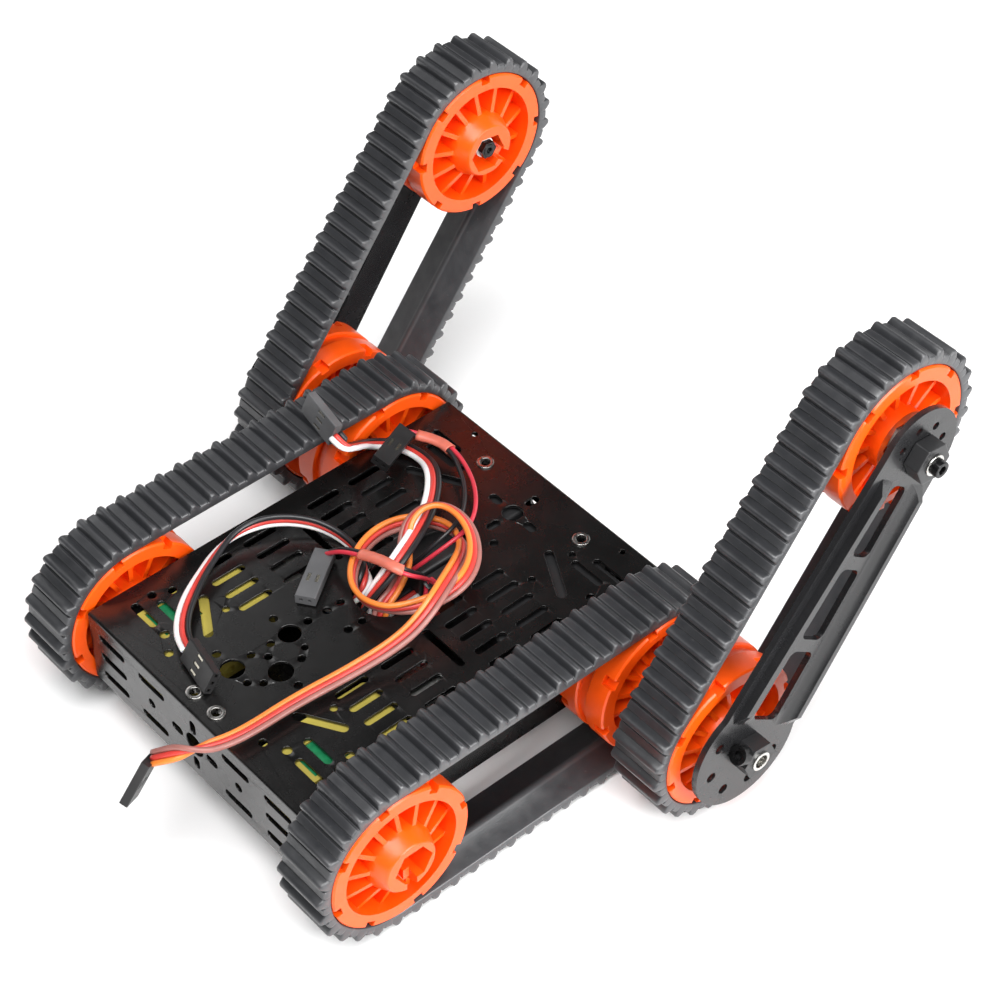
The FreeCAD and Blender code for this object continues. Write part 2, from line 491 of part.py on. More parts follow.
LEADS = {
    "lead_orange": (RIBBON_D, [
        (14.8, -7.2, H - 12.5), (9.6, -7.3, H - 12.6), (4.6, -7.6, H - 12.4), (-0.6, -7.6, H - 11.9), (-4.3, -7.0, H - 9.0),
        (-5.4, -6.0, H - 5.0), (-4.4, -4.8, H - 1.2), (-1.7, -3.9, H + 1.3), (1.5, -3.6, H + 2.7), (5.6, -2.1, H + 4.0),
        (9.1, 0.2, H + 5.5), (11.3, 3.0, H + 7.6), (13.6, 5.6, H + 10.0), (17.0, 7.6, H + 12.4), (21.6, 7.9, H + 13.9),
        (25.9, 5.3, H + 14.6), (27.7, 0.4, H + 14.5), (27.3, -5.4, H + 14.0), (25.0, -10.9, H + 13.0), (21.0, -15.6, H + 12.0),
        (15.6, -18.6, H + 11.0), (9.6, -19.1, H + 9.8), (3.6, -17.4, H + 8.5), (-2.3, -14.2, H + 7.4), (-6.7, -9.1, H + 6.4),
        (-8.5, -3.0, H + 5.8), (-7.1, 3.2, H + 5.4), (-3.1, 8.5, H + 5.3), (2.2, 12.2, H + 5.6), (8.0, 14.1, H + 6.0),
        (13.8, 14.2, H + 6.3), (19.3, 12.5, H + 6.4), (23.8, 9.5, H + 6.3), (26.8, 5.2, H + 5.9), (27.7, 0.5, H + 5.9),
        (26.2, -4.2, H + 6.7), (22.9, -8.3, H + 8.3), (18.6, -12.0, H + 10.6), (13.6, -15.4, H + 12.6), (8.2, -18.4, H + 13.6),
        (2.6, -20.8, H + 13.0), (-2.6, -21.9, H + 10.8), (-7.8, -22.0, H + 8.2), (-13.6, -21.2, H + 6.0), (-20.4, -20.2, H + 4.6),
        (-28.4, -19.1, H + 3.6), (-37.2, -18.0, H + 3.2), (-46.4, -17.5, H + 3.2), (-55.6, -17.6, H + 3.2), (-63.6, -17.2, H + 3.4),
        (-70.2, -15.3, H + 3.3), (-75.0, -11.6, H + 2.3), (-78.7, -7.8, H + 0.1), (-81.2, -4.0, H - 2.9)]),
    "lead_white_long": (RIBBON_D, [
        (14.8, 3.6, H - 12.5), (9.8, 3.5, H - 12.6), (5.0, 3.3, H - 12.4), (0.2, 2.8, H - 12.0), (-3.8, 2.4, H - 9.4),
        (-5.3, 1.9, H - 5.2), (-4.7, 1.0, H - 0.8), (-2.3, 0.0, H + 3.2), (1.0, -0.9, H + 6.9), (4.9, -0.8, H + 9.8),
        (9.2, 0.4, H + 11.2), (14.3, 2.6, H + 11.4), (19.4, 5.6, H + 10.8), (24.2, 8.6, H + 10.2), (28.6, 12.1, H + 9.6),
        (32.8, 16.2, H + 9.0), (36.5, 20.8, H + 8.0), (39.5, 25.9, H + 5.9), (41.5, 31.2, H + 3.4), (42.1, 36.6, H + 2.0),
        (40.6, 41.4, H + 1.9), (36.8, 44.6, H + 2.6), (31.8, 45.6, H + 4.8), (27.4, 43.6, H + 8.6), (23.0, 40.4, H + 13.0),
        (19.1, 38.6, H + 17.0), (19.15, 43.0, H + 18.15)]),
    "lead_white_short": (RIBBON_D, [
        (-7.0, 22.5, H - 12.4), (-7.1, 18.4, H - 12.3), (-6.9, 14.2, H - 11.6), (-6.2, 10.4, H - 9.2), (-5.2, 7.4, H - 5.8),
        (-4.1, 5.3, H - 2.1), (-2.1, 5.0, H + 1.0), (0.6, 7.0, H + 1.9), (2.9, 11.0, H + 1.9), (4.6, 16.4, H + 1.9),
        (4.4, 22.6, H + 2.5), (2.5, 28.0, H + 3.5), (-0.4, 32.0, H + 4.5), (-4.0, 35.5, H + 5.1), (-8.1, 38.5, H + 5.3),
        (-12.6, 40.5, H + 5.2), (-17.4, 41.4, H + 4.9), (-22.4, 41.0, H + 4.5), (-27.5, 39.3, H + 4.1), (-32.8, 36.9, H + 3.7),
        (-37.8, 34.3, H + 3.4), (-42.5, 31.3, H + 3.2), (-46.8, 27.9, H + 3.1), (-50.4, 23.9, H + 3.2), (-53.0, 19.5, H + 3.6),
        (-54.0, 15.6, H + 4.0)]),
    "lead_pair_rear": (PAIR_D, [
        (-1.5, -22.5, 2.2), (-1.4, -18.4, 2.3), (-0.4, -14.4, 3.0), (2.6, -11.3, 4.2), (6.6, -9.2, 5.9),
        (10.2, -8.0, 8.6), (11.9, -7.3, 12.4), (11.4, -7.6, H + 4.1), (8.6, -8.0, H + 7.8), (4.9, -7.9, H + 11.2),
        (2.2, -6.2, H + 13.3), (1.2, -2.6, H + 13.5), (0.7, 1.6, H + 12.5), (-0.2, 6.2, H + 11.1), (-1.3, 10.9, H + 9.6),
        (-2.3, 15.0, H + 7.6), (-2.9, 18.0, H + 4.9), (-3.0, 20.6, H + 2.6)]),
    "lead_pair_front": (PAIR_D, [
        (-0.5, 22.5, 2.3), (-0.4, 18.6, 2.4), (0.9, 14.6, 3.0), (3.6, 11.2, 4.0), (6.8, 8.2, 5.4),
        (9.6, 5.4, 7.9), (11.8, 3.0, 11.2), (14.0, 1.0, H + 2.0), (17.1, -0.8, H + 5.3), (20.9, -2.2, H + 8.2),
        (25.1, -2.7, H + 9.8), (29.6, -1.3, H + 10.0), (34.3, 2.2, H + 9.0), (38.8, 7.0, H + 7.8), (42.9, 12.7, H + 6.7),
        (46.0, 18.9, H + 5.9), (48.2, 25.0, H + 5.6), (48.4, 30.4, H + 5.6), (46.4, 35.6, H + 5.8), (43.2, 40.6, H + 6.0)]),
}


def lead_path(pts):
    P = [V(*p) for p in pts]
    n = len(P)
    edges, at, radii, length = [], P[0], [], 0.0
    for i in range(1, n - 1):
        a, b = P[i] - P[i - 1], P[i + 1] - P[i]
        la, lb = a.Length, b.Length
        ua, ub = a * (1 / la), b * (1 / lb)
        turn = math.acos(max(-1.0, min(1.0, ua.dot(ub))))
        t = 0.45 * min(la, lb)
        r = t / math.tan(turn / 2)
        radii.append(r)
        s, e = P[i] - ua * t, P[i] + ub * t
        bis = (ub - ua)
        bis = bis * (1 / bis.Length)
        centre = P[i] + bis * (r / math.cos(turn / 2))
        mid = centre - bis * r
        edges.append(Part.LineSegment(at, s).toShape())
        edges.append(Part.Arc(s, mid, e).toShape())
        length += (s - at).Length + r * turn
        at = e
    edges.append(Part.LineSegment(at, P[-1]).toShape())
    length += (P[-1] - at).Length
    return Part.Wire(edges), radii, length


for name, (dia, pts) in LEADS.items():
    path, radii, length = lead_path(pts)
    d0 = (V(*pts[1]) - V(*pts[0]))
    circle = Part.Wire([Part.Circle(V(*pts[0]), d0, dia / 2).toShape()])
    tube = path.makePipeShell([circle], True, False, 0)
    vol = math.pi * dia * dia / 4 * length
    ratio = tube.Volume / vol
    print(name, "length %.1f" % length, "volume ratio %.4f" % ratio, "least radius %.1f" % min(radii), "valid", tube.isValid())
    print("   radii", " ".join("%.1f" % r for r in radii))
    keep(name, tube)


def place_plug(name, start, direction, across, length, width, thick):
    d = V(*direction)
    d.normalize()
    w = V(*across)
    w = w - d * w.dot(d)
    w.normalize()
    n = d.cross(w)
    s = box(0, length, -width / 2, width / 2, -thick / 2, thick / 2)
    s = s.makeFillet(0.35, [e for e in s.Edges if e.BoundBox.XLength > length - 0.1])
    cuts = []
    k = max(2, int(width / 2.54 + 0.2))
    for i in range(k):
        y = (i - (k - 1) / 2.0) * 2.54
        cuts.append(box(length - 5.0, length + 1, y - 0.5, y + 0.5, -0.5, 0.5))
        cuts.append(box(length - 9.0, length - 6.0, y - 0.5, y + 0.5, thick / 2 - 0.5, thick))
    s = s.cut(cuts)
    m = Base.Matrix(d.x, w.x, n.x, start[0], d.y, w.y, n.y, start[1], d.z, w.z, n.z, start[2], 0, 0, 0, 1)
    s.Placement = Base.Placement(m)
    keep(name, s)


place_plug("plug_orange", (-81.4, -3.8, H - 3.2), (-0.509, 0.125, -0.852), (0.783, 0.478, -0.398), 14.5, 7.8, 2.6)
place_plug("plug_white_long", (19.17, 43.0, H + 18.2), (0.073, 0.974, 0.214), (-0.238, 0.225, -0.945), 14.0, 7.8, 2.7)
place_plug("plug_white_short", (-54.05, 15.55, H + 4.1), (-0.19, -1.0, 0.0), (0.5, -0.1, 0.86), 14.5, 7.4, 2.6)
place_plug("plug_pair_rear", (-3.1, 20.75, H + 2.45), (-16.4, -11.2, -0.3), (0.5, -0.8, 0.0), 18.5, 6.0, 3.2)
place_plug("plug_pair_front", (42.9, 40.8, H + 6.4), (-13.8, -5.2, -0.2), (0.3, -0.8, -0.35), 15.0, 5.6, 3.6)


def sleeve(name, a, b, r):
    a, b = V(*a), V(*b)
    s = Part.makeCylinder(r, (b - a).Length, a, b - a)
    keep(name, s)


sleeve("sleeve_rear", (-2.2, 14.3, H + 8.1), (0.85, 0.6, H + 12.8), 1.75)
sleeve("sleeve_front", (45.4, 37.2, H + 5.85), (48.4, 30.3, H + 5.6), 1.7)

# ---------------------------------------------------------------- write out
os.makedirs(OUT, exist_ok=True)
lo = [1e9] * 3
hi = [-1e9] * 3
CORDS = ("lead_", "plug_", "sleeve_")
for name, solids in sorted(PARTS.items()):
    shape = solids[0] if len(solids) == 1 else Part.makeCompound(solids)
    shape = shape.copy()
    shape.translate(V(SHIFT_X, 0, AXLE_Z))
    if not shape.isValid():
        print("NOT VALID", name)
    if not name.startswith(CORDS):
        b = shape.BoundBox
        lo = [min(p, q) for p, q in zip(lo, (b.XMin, b.YMin, b.ZMin))]
        hi = [max(p, q) for p, q in zip(hi, (b.XMax, b.YMax, b.ZMax))]
    shape.exportStep(os.path.join(OUT, name + ".step"))
print(len(PARTS), "nodes; box", [round(v, 3) for v in lo], [round(v, 3) for v in hi],
      "middle x %.3f" % ((lo[0] + hi[0]) / 2))
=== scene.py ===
import bpy, bmesh, math, random
import numpy as np
from mathutils import Vector, Matrix, Quaternion


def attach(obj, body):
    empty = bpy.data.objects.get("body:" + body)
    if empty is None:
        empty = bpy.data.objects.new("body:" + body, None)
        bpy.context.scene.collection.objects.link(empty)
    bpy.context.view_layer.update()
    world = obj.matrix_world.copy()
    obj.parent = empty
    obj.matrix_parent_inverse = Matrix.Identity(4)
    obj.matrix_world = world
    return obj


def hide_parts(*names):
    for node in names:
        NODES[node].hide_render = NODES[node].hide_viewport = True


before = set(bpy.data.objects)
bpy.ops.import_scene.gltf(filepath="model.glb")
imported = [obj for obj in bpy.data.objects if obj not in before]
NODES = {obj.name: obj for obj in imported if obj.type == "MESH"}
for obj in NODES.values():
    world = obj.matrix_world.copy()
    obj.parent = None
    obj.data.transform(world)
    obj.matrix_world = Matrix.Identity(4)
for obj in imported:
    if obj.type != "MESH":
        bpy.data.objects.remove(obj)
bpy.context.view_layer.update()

# ------------------------------------------------------------------ frame: drawing millimetres to row metres
SX, SZ = -26.809, 27.6
H = 12.4                                     # deck top above the axles
REAR_X, FRONT_X, ARM_LEN, REST = -48.0, 45.0, 93.0, math.radians(52.5)


def P(x, y, z):
    return Vector(((x + SX) * 1e-3, y * 1e-3, (z + SZ) * 1e-3))


# ------------------------------------------------------------------ materials
def mat(name, color, rough=0.5, metallic=0.0, bump=(), vary=0.0, vary_scale=60.0, rough_vary=0.0, rough_scale=200.0,
        sss=0.0, sss_radius=(1, 0.3, 0.1), sss_scale=0.002, coat=0.0, coat_rough=0.2, spec=0.5, sheen=0.0, color2=None,
        specks=None, transmission=0.0, alpha=1.0, wear=None):
    m = bpy.data.materials.new(name)
    m.use_nodes = True
    nt = m.node_tree
    b = nt.nodes["Principled BSDF"]
    b.inputs["Metallic"].default_value = metallic
    b.inputs["Specular IOR Level"].default_value = spec
    b.inputs["Subsurface Weight"].default_value = sss
    b.inputs["Subsurface Radius"].default_value = sss_radius
    b.inputs["Subsurface Scale"].default_value = sss_scale
    b.inputs["Coat Weight"].default_value = coat
    b.inputs["Coat Roughness"].default_value = coat_rough
    b.inputs["Sheen Weight"].default_value = sheen
    b.inputs["Transmission Weight"].default_value = transmission
    b.inputs["Alpha"].default_value = alpha
    tc = nt.nodes.new("ShaderNodeTexCoord")
    vec = tc.outputs["Object"]
    L = nt.links.new

    def noise(scale, detail=3.0, rough_=0.55, dist=0.0):
        n = nt.nodes.new("ShaderNodeTexNoise")
        n.inputs["Scale"].default_value = scale
        n.inputs["Detail"].default_value = detail
        n.inputs["Roughness"].default_value = rough_
        n.inputs["Distortion"].default_value = dist
        L(vec, n.inputs["Vector"])
        return n.outputs["Fac"]

    def ramp(src, a, b_, lo, hi):
        r = nt.nodes.new("ShaderNodeMapRange")
        r.inputs["From Min"].default_value = a
        r.inputs["From Max"].default_value = b_
        r.inputs["To Min"].default_value = lo
        r.inputs["To Max"].default_value = hi
        L(src, r.inputs["Value"])
        return r.outputs["Result"]

    def mix(fac, c1, c2):
        x = nt.nodes.new("ShaderNodeMix")
        x.data_type = "RGBA"
        L(fac, x.inputs["Factor"])
        if isinstance(c1, tuple):
            x.inputs["A"].default_value = (*c1, 1)
        else:
            L(c1, x.inputs["A"])
        x.inputs["B"].default_value = (*c2, 1)
        return x.outputs["Result"]

    dark = color2 or tuple(max(0.0, c * (1 - vary)) for c in color)
    col = mix(ramp(noise(vary_scale, 4.0), 0.35, 0.65, 0.0, 1.0), color, dark)
    if specks:                               # fine pale dust: (scale, threshold, colour, amount)
        col = mix(ramp(noise(specks[0], 2.0), specks[1], specks[1] + 0.06, 0.0, specks[3]), col, specks[2])
    if wear:                                 # painted highlight: paler along convex edges and crests, from the mesh curvature
        g = nt.nodes.new("ShaderNodeNewGeometry")
        col = mix(ramp(g.outputs["Pointiness"], wear[0], wear[1], 0.0, wear[3]), col, wear[2])
    L(col, b.inputs["Base Color"])
    if rough_vary:
        L(ramp(noise(rough_scale, 4.0), 0.3, 0.7, max(0.02, rough - rough_vary), min(1.0, rough + rough_vary)), b.inputs["Roughness"])
    else:
        b.inputs["Roughness"].default_value = rough
    last = None
    for scale, dist_mm, strength in bump:
        bn = nt.nodes.new("ShaderNodeBump")
        bn.inputs["Strength"].default_value = strength
        bn.inputs["Distance"].default_value = dist_mm * 1e-3
        L(noise(scale, 3.0), bn.inputs["Height"])
        if last is not None:
            L(last, bn.inputs["Normal"])
        last = bn.outputs["Normal"]
    if last is not None:
        L(last, b.inputs["Normal"])
    return m


M = {}
M["sheet"] = mat("black_powder_coat", (0.0036, 0.0034, 0.0034), rough=0.27, rough_vary=0.05, rough_scale=90, vary=0.35, vary_scale=35,
                 bump=((2600, 0.03, 0.35), (700, 0.03, 0.12)), spec=0.85, specks=(1500, 0.735, (0.16, 0.15, 0.14), 0.5))
M["plate"] = mat("dark_grey_coat", (0.014, 0.014, 0.015), rough=0.26, rough_vary=0.05, rough_scale=90, vary=0.25, vary_scale=40,
                 bump=((2600, 0.03, 0.35), (700, 0.03, 0.12)), specks=(1500, 0.735, (0.16, 0.15, 0.14), 0.4))
# belt rubber: its convex edges and lug crests are painted paler as a highlight
M["rubber"] = mat("track_rubber", (0.024, 0.025, 0.028), rough=0.39, rough_vary=0.07, rough_scale=260, vary=0.22, vary_scale=90,
                  bump=((1900, 0.05, 0.35), (420, 0.10, 0.20)), spec=0.75, specks=(900, 0.70, (0.10, 0.10, 0.10), 0.35), wear=(0.515, 0.60, (0.12, 0.12, 0.125), 0.5))
M["orange"] = mat("orange_plastic", (0.93, 0.090, 0.002), rough=0.34, rough_vary=0.05, rough_scale=160, vary=0.08, vary_scale=120,
                  bump=((900, 0.02, 0.22), (160, 0.06, 0.10)), sss=0.05, sss_radius=(1.0, 0.12, 0.01), sss_scale=0.0012, spec=0.45)
M["hex"] = mat("black_nylon", (0.018, 0.018, 0.019), rough=0.42, rough_vary=0.05, vary=0.2, bump=((1500, 0.02, 0.3),))
M["steel"] = mat("plated_steel", (0.66, 0.65, 0.62), rough=0.24, rough_vary=0.08, rough_scale=600, metallic=1.0, vary=0.25, vary_scale=500,
                 bump=((2500, 0.01, 0.2),))
M["nut"] = mat("plated_insert", (0.55, 0.54, 0.52), rough=0.30, rough_vary=0.10, rough_scale=900, metallic=1.0, vary=0.30, vary_scale=700,
               bump=((2500, 0.01, 0.25),))
M["oxide"] = mat("black_oxide", (0.030, 0.030, 0.031), rough=0.30, rough_vary=0.08, rough_scale=500, metallic=0.85, vary=0.3, vary_scale=400,
                 bump=((2500, 0.01, 0.25),))
M["yellow"] = mat("yellow_plastic", (0.40, 0.33, 0.06), rough=0.45, rough_vary=0.05, vary=0.12, vary_scale=80, bump=((1200, 0.02, 0.3),))
M["can"] = mat("motor_can", (0.55, 0.55, 0.53), rough=0.28, rough_vary=0.06, metallic=1.0, vary=0.15, vary_scale=300, bump=((2200, 0.01, 0.2),))
M["board"] = mat("green_board", (0.010, 0.20, 0.075), rough=0.35, vary=0.4, vary_scale=420, bump=((900, 0.03, 0.3),), coat=0.3)
M["servo"] = mat("servo_case", (0.020, 0.020, 0.021), rough=0.45, vary=0.25, vary_scale=80, bump=((1600, 0.02, 0.35),))
M["alu"] = mat("dark_aluminium", (0.20, 0.20, 0.21), rough=0.35, metallic=1.0, vary=0.2, vary_scale=200, bump=((1800, 0.01, 0.2),))
M["white_plastic"] = mat("white_bushing", (0.72, 0.71, 0.68), rough=0.40, vary=0.1, vary_scale=200, bump=((1400, 0.02, 0.2),), sss=0.1)
for key, name, c, dk in (("w_orange", "wire_orange", (0.80, 0.215, 0.035), 0.12), ("w_red", "wire_red", (0.60, 0.050, 0.040), 0.15),
                         ("w_brown", "wire_brown", (0.34, 0.135, 0.115), 0.15), ("w_white", "wire_white", (0.80, 0.78, 0.78), 0.06),
                         ("w_black", "wire_black", (0.016, 0.016, 0.018), 0.2), ("w_pink", "wire_crimson", (0.62, 0.035, 0.060), 0.12)):
    M[key] = mat(name, c, rough=0.36, rough_vary=0.06, rough_scale=400, vary=dk, vary_scale=150, bump=((1600, 0.02, 0.25),), sss=0.08 if key != "w_black" else 0.0,
                 sss_scale=0.0008)
M["plug_black"] = mat("plug_black", (0.016, 0.0155, 0.016), rough=0.36, rough_vary=0.05, vary=0.25, vary_scale=150, bump=((1700, 0.02, 0.3),))
M["plug_grey"] = mat("plug_grey", (0.098, 0.099, 0.103), rough=0.40, rough_vary=0.05, vary=0.2, vary_scale=150, bump=((1700, 0.02, 0.3),))
M["salmon"] = mat("shrink_sleeve", (0.62, 0.155, 0.105), rough=0.38, rough_vary=0.06, vary=0.18, vary_scale=220, bump=((900, 0.05, 0.3),), sss=0.12, sss_scale=0.001)
M["contact"] = mat("tin_contact", (0.70, 0.66, 0.55), rough=0.22, metallic=1.0, vary=0.3, vary_scale=900, bump=((2500, 0.01, 0.2),))

LOOK = {
    "top_cover": "sheet", "bottom_tray": "sheet", "clinch_nuts": "nut", "case_screws": "oxide", "gearmotor_housing": "yellow", "motor_can": "can",
    "encoder_boards": "board", "motor_shaft": "steel", "rear_coupling": "hex", "flipper_servo": "servo", "servo_coupling": "alu",
    "shaft_bearings": "steel", "flipper_shaft": "steel", "rear_wheel": "orange", "front_wheel": "orange", "flipper_base_wheel": "orange",
    "tip_wheel": "orange", "wheel_hexes": "hex", "base_hub": "hex", "tip_hub": "hex", "arm_plate": "plate", "tip_axle": "oxide",
    "arm_hardware": "oxide", "axle_washer": "steel", "tip_bushing": "white_plastic", "plug_orange": "plug_black", "plug_white_long": "plug_grey",
    "plug_white_short": "plug_black", "plug_pair_rear": "plug_grey", "plug_pair_front": "plug_black"}
BEVEL = {"top_cover": 0.12, "bottom_tray": 0.12, "arm_plate": 0.3, "axle_washer": 0.15, "flipper_shaft": 0.25, "rear_wheel": 0.28, "front_wheel": 0.28, "flipper_base_wheel": 0.28,
         "tip_wheel": 0.28, "base_hub": 0.35, "tip_hub": 0.35, "clinch_nuts": 0.12, "case_screws": 0.2, "arm_hardware": 0.2, "tip_axle": 0.2,
         "plug_orange": 0.15, "plug_white_long": 0.15, "plug_white_short": 0.15, "plug_pair_rear": 0.15, "plug_pair_front": 0.15,
         "gearmotor_housing": 0.3, "flipper_servo": 0.3, "wheel_hexes": 0.2, "rear_coupling": 0.2, "shaft_bearings": 0.15}


def soften(o, width_mm, segments=2, angle=32):
    w = o.modifiers.new("weld", "WELD")
    w.merge_threshold = 2e-6
    b = o.modifiers.new("edge", "BEVEL")
    b.width = width_mm * 1e-3
    b.segments = segments
    b.limit_method = "ANGLE"
    b.angle_limit = math.radians(angle)
    b.use_clamp_overlap = True
    b.harden_normals = False
    n = o.modifiers.new("normals", "WEIGHTED_NORMAL")
    n.keep_sharp = False


for name, o in NODES.items():
    key = name.replace("_left", "").replace("_right", "")
    look = LOOK.get(name) or LOOK.get(key)
    if look:
        for s in o.material_slots:
            s.material = M[look]
        if not o.material_slots:
            o.data.materials.append(M[look])
    bw = BEVEL.get(name) or BEVEL.get(key)
    if bw:
        soften(o, bw)


# ------------------------------------------------------------------ mesh helper
def add(name, verts, faces, mats, body, face_mat=None, smooth=True):
    me = bpy.data.meshes.new(name)
    me.from_pydata([tuple(v) for v in verts], [], faces)
    for m in mats:
        me.materials.append(m)
    if face_mat is not None:
        me.polygons.foreach_set("material_index", face_mat)
    me.polygons.foreach_set("use_smooth", [smooth] * len(me.polygons))
    me.update()
    o = bpy.data.objects.new(name, me)
    bpy.context.scene.collection.objects.link(o)
    if body:
        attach(o, body)
    return o


# ------------------------------------------------------------------ rubber belts
LUGS, BELT_W, R_IN, R_VALLEY, LUG_H = 52, 17.6, 23.0, 25.6, 2.0


def smooth01(t):
    t = max(0.0, min(1.0, t))
    return t * t * (3 - 2 * t)


def lug_height(f):
    # one pitch: a flat pad between two fine grooves, then a ridge with a long rise, a rounded top and a steep fall
    pad, groove = 0.34, -0.16
    if f < 0.02:
        h = groove + (pad - groove) * smooth01(f / 0.02)
    elif f < 0.36:
        h = pad
    elif f < 0.385:
        h = pad + (groove - pad) * smooth01((f - 0.36) / 0.025)
    elif f < 0.41:
        h = groove
    elif f < 0.70:
        h = groove + (LUG_H - groove) * math.sin(math.pi / 2 * (f - 0.41) / 0.29) ** 1.15
    elif f < 0.76:
        h = LUG_H
    elif f < 0.93:
        h = groove + (LUG_H - groove) * math.cos(math.pi / 2 * (f - 0.76) / 0.17) ** 0.85
    else:
        h = groove
    return h


def belt_mesh(span):
    total = 2 * span + 2 * math.pi * R_VALLEY
    half = math.pi * R_VALLEY

    def frame_at(s):
        s %= total
        if s < span:
            return (s, -1.0, 0.0, 0.0, -1.0)
        s -= span
        if s < half:
            a = -math.pi / 2 + s / R_VALLEY
            return (span, 0, 0, math.cos(a), math.sin(a))
        s -= half
        if s < span:
            return (span - s, 1.0, 0.0, 0.0, 1.0)
        s -= span
        a = math.pi / 2 + s / R_VALLEY
        return (0.0, 0, 0, math.cos(a), math.sin(a))

    fr = [0.0, 0.010, 0.022, 0.05, 0.19, 0.33, 0.358, 0.372, 0.386, 0.408, 0.44, 0.48, 0.52, 0.56, 0.60, 0.64, 0.68, 0.71, 0.755, 0.79, 0.825, 0.86, 0.89, 0.915, 0.932, 0.965]
    W = BELT_W
    # cross-section: outer run of across positions with a small rounded shoulder, then down the side and the inside
    outer = [(0.0, -0.75), (0.18, -0.25), (0.65, 0.0), (3.5, 0.0), (W / 2, 0.0), (W - 3.5, 0.0), (W - 0.65, 0.0), (W - 0.18, -0.25), (W, -0.75)]
    inner = [(W, R_IN + 0.35), (W - 0.35, R_IN), (W / 2 + 1.4, R_IN), (W / 2 + 1.1, R_IN - 1.05), (W / 2 - 1.1, R_IN - 1.05), (W / 2 - 1.4, R_IN), (0.35, R_IN), (0.0, R_IN + 0.35)]
    rnd = random.Random(5)
    verts, faces = [], []
    ring = len(outer) + len(inner)
    rows = 0
    pitch = total / LUGS
    for i in range(LUGS):
        wob = 1 + rnd.uniform(-0.03, 0.03)
        for f in fr:
            s = (i + f) * pitch
            cx, _, _, nx, nz = frame_at(s)
            h = lug_height(f)
            for y, d in outer:
                r = R_VALLEY + min(LUG_H, h * wob) + d * (1.0 if h > 1.0 else 0.6)
                verts.append((cx + nx * r, y, nz * r))
            for y, r in inner:
                verts.append((cx + nx * r, y, nz * r))
            rows += 1
    for i in range(rows):
        a, b = i * ring, ((i + 1) % rows) * ring
        for k in range(ring):
            k2 = (k + 1) % ring
            faces.append((a + k, b + k, b + k2, a + k2))
    return verts, faces


def place_arm(v, side):
    # level arm millimetres (pivot at the origin) to row metres, raised to rest
    c, s = math.cos(REST), math.sin(REST)
    x, y, z = v
    return P(FRONT_X + x * c - z * s, side * y, x * s + z * c)


for side, nm in ((1, "left"), (-1, "right")):
    for kind in ("main", "flipper"):
        span = FRONT_X - REAR_X if kind == "main" else ARM_LEN
        vs, fs = belt_mesh(span)
        if kind == "main":
            y0 = 48.9 + 0.2
            out = [P(REAR_X + x, side * (y + y0), z) for x, y, z in vs]
        else:
            y0 = 74.9 + 0.2
            out = [place_arm((x, y + y0, z), side) for x, y, z in vs]
        if side > 0:
            fs = [f[::-1] for f in fs]
        o = add(kind + "_belt_" + nm, out, fs, [M["rubber"]], "chassis" if kind == "main" else "flipper_" + nm)
        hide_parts(kind + "_track_" + nm)

